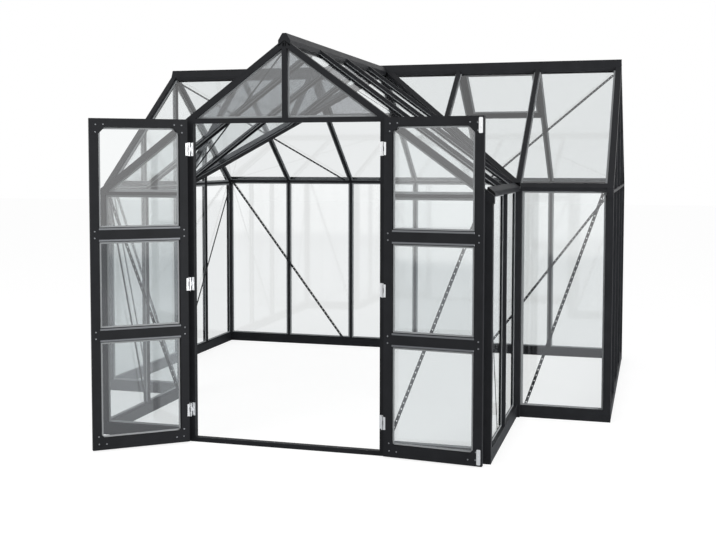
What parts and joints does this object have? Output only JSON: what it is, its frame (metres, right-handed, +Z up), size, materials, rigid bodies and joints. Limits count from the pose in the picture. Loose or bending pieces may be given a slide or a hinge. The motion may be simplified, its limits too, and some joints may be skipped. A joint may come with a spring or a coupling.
{
  "type": "glass greenhouse",
  "caption": "T-shaped glass greenhouse with a pitched roof, a gabled front porch and outward-opening glazed double doors.",
  "frame": {"origin": "on the ground, under the middle of the door threshold", "axes": "+X to the right seen from the front, +Y from the door towards the back wall, +Z up"},
  "size_m": [3.746, 4.1647, 2.526],
  "materials": {
    "frame_black": "satin powder coat",
    "glass_clear": "clear float glass",
    "hinge_metal": "bright satin"
  },
  "bodies": {
    "house": {"bars_back": "frame_black", "bars_gables": "frame_black", "bars_porch": "frame_black", "base_rails_x": "frame_black", "base_rails_y": "frame_black", "braces_roof": "frame_black", "braces_walls": "frame_black", "corner_posts": "frame_black", "eaves_main": "frame_black", "eaves_porch": "frame_black", "glass_back": "glass_clear", "glass_front": "glass_clear", "glass_gables": "glass_clear", "glass_porch": "glass_clear", "glass_roof_back": "glass_clear", "glass_roof_main": "glass_clear", "glass_roof_porch": "glass_clear", "glass_wings": "glass_clear", "header": "frame_black", "hinge_plates": "hinge_metal", "jambs": "frame_black", "junction_posts": "frame_black", "king_post": "frame_black", "rafters_back": "frame_black", "rafters_main_front": "frame_black", "rafters_porch": "frame_black", "ridge_caps": "frame_black", "ridge_main": "frame_black", "ridge_porch": "frame_black", "threshold": "frame_black", "ties": "frame_black", "valleys": "frame_black", "vent_glass": "glass_clear", "vent_sashes": "frame_black", "vent_sills": "frame_black", "verge_front": "frame_black", "verges_main": "frame_black"},
    "leaf_left": {"leaf_left_glass": "glass_clear", "leaf_left_hinges": "hinge_metal", "leaf_left_rails": "frame_black", "leaf_left_stiles": "frame_black"},
    "leaf_right": {"leaf_right_glass": "glass_clear", "leaf_right_hinges": "hinge_metal", "leaf_right_rails": "frame_black", "leaf_right_stiles": "frame_black"}
  },
  "joints": [
    {"name": "left_leaf_hinge", "type": "hinge", "parent": "house", "child": "leaf_left", "pos_m": [-0.612, -0.032, 0.99], "axis": [0, 0, -1], "range_deg": [-141, 39]},
    {"name": "right_leaf_hinge", "type": "hinge", "parent": "house", "child": "leaf_right", "pos_m": [0.612, -0.032, 0.99], "axis": [0, 0, 1], "range_deg": [-174, 6]}
  ]
}
